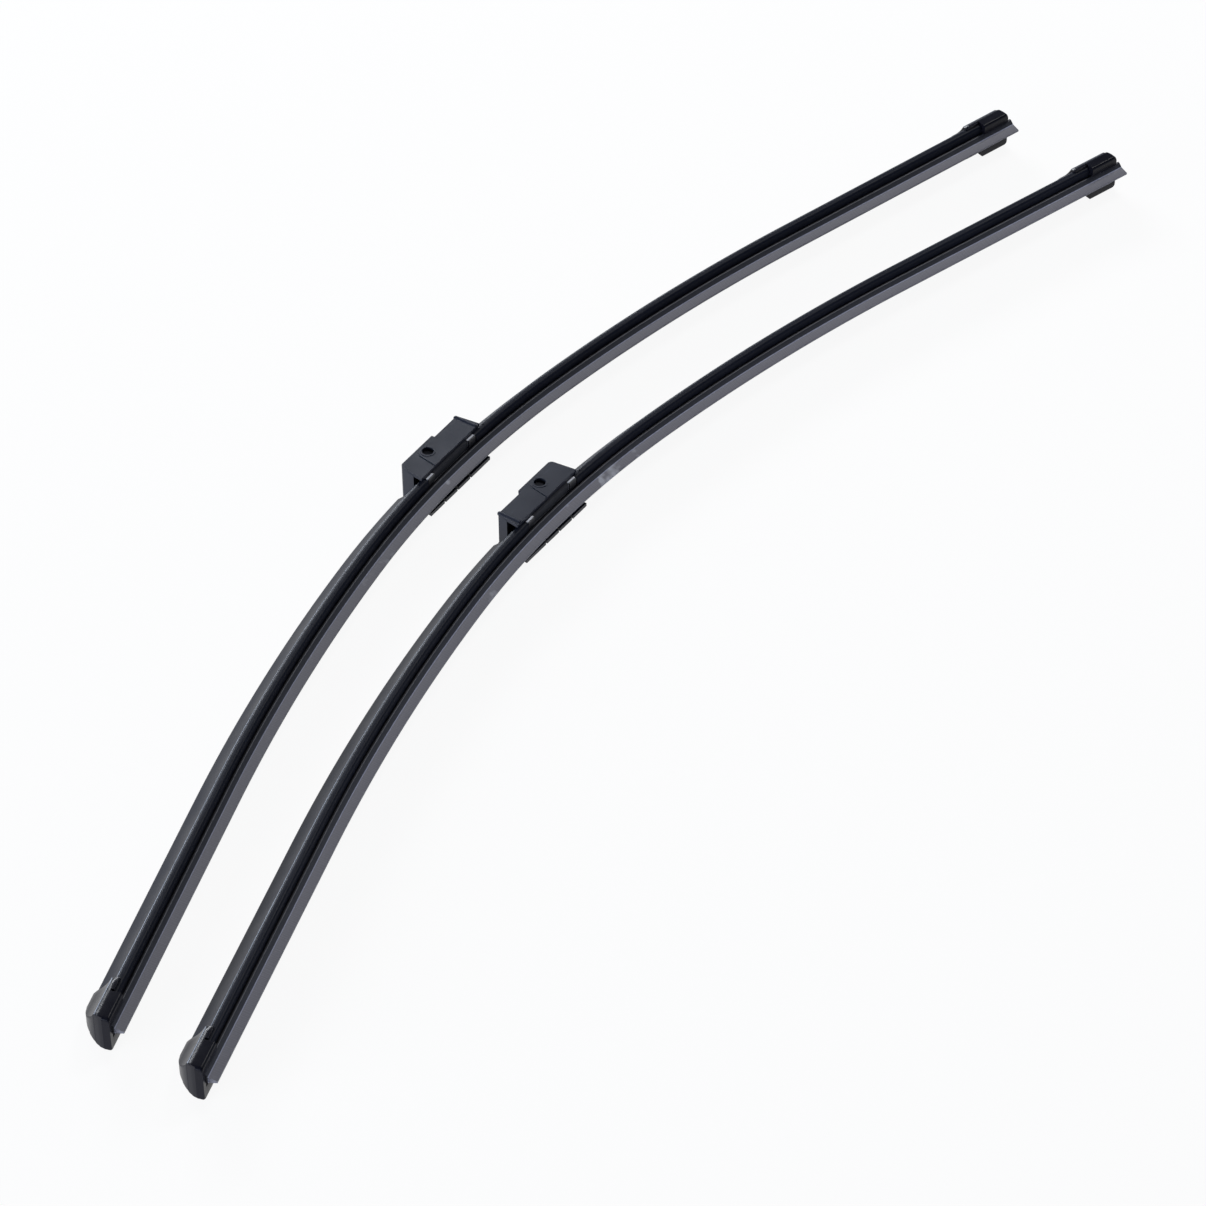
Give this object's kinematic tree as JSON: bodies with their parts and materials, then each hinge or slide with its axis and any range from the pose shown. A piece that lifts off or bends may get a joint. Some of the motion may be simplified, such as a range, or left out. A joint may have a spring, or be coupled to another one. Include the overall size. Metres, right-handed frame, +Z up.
{
  "type": "windshield wiper assembly",
  "caption": "Pair of flat beam windshield wiper blades with wedge spoilers, end caps and handed arm adapters, lying side by side.",
  "frame": {"origin": "on the ground below the middle of the pair's bounding box", "axes": "+X along the blades, +Y in blade height from rubber lip to adapter, +Z up, square to the blades' side faces"},
  "size_m": [0.637, 0.145, 0.018],
  "materials": {
    "rubber": "matt",
    "steel": "brushed",
    "spoiler": "satin",
    "cap": "gloss",
    "moulded": "fine texture"
  },
  "bodies": {
    "blade_a": {"rubber_a": "rubber", "rail_upper_a": "steel", "rail_lower_a": "steel", "spoiler_left_a": "spoiler", "spoiler_right_a": "spoiler", "cap_left_a": "cap", "cap_right_a": "cap", "clip_left_a": "steel", "clip_right_a": "steel", "carrier_a": "moulded", "rivet_a": "steel"},
    "adapter_a": {"adapter_a": "moulded"},
    "blade_b": {"rubber_b": "rubber", "rail_upper_b": "steel", "rail_lower_b": "steel", "spoiler_left_b": "spoiler", "spoiler_right_b": "spoiler", "cap_left_b": "cap", "cap_right_b": "cap", "clip_left_b": "steel", "clip_right_b": "steel", "carrier_b": "moulded", "rivet_b": "steel"},
    "adapter_b": {"adapter_b": "moulded"}
  },
  "joints": [
    {"name": "adapter_a_pivot", "type": "hinge", "parent": "blade_a", "child": "adapter_a", "pos_m": [-0.00551, 0.06817, 0.009], "axis": [0, 0, 1], "range_deg": [-8, 8]},
    {"name": "blade_b_lift", "type": "slide", "parent": "blade_a", "child": "blade_b", "axis": [0, 0, 1], "range_m": [0, 0.05]},
    {"name": "adapter_b_pivot", "type": "hinge", "parent": "blade_b", "child": "adapter_b", "pos_m": [0.00359, 0.02009, 0.009], "axis": [0, 0, 1], "range_deg": [-8, 8]}
  ]
}
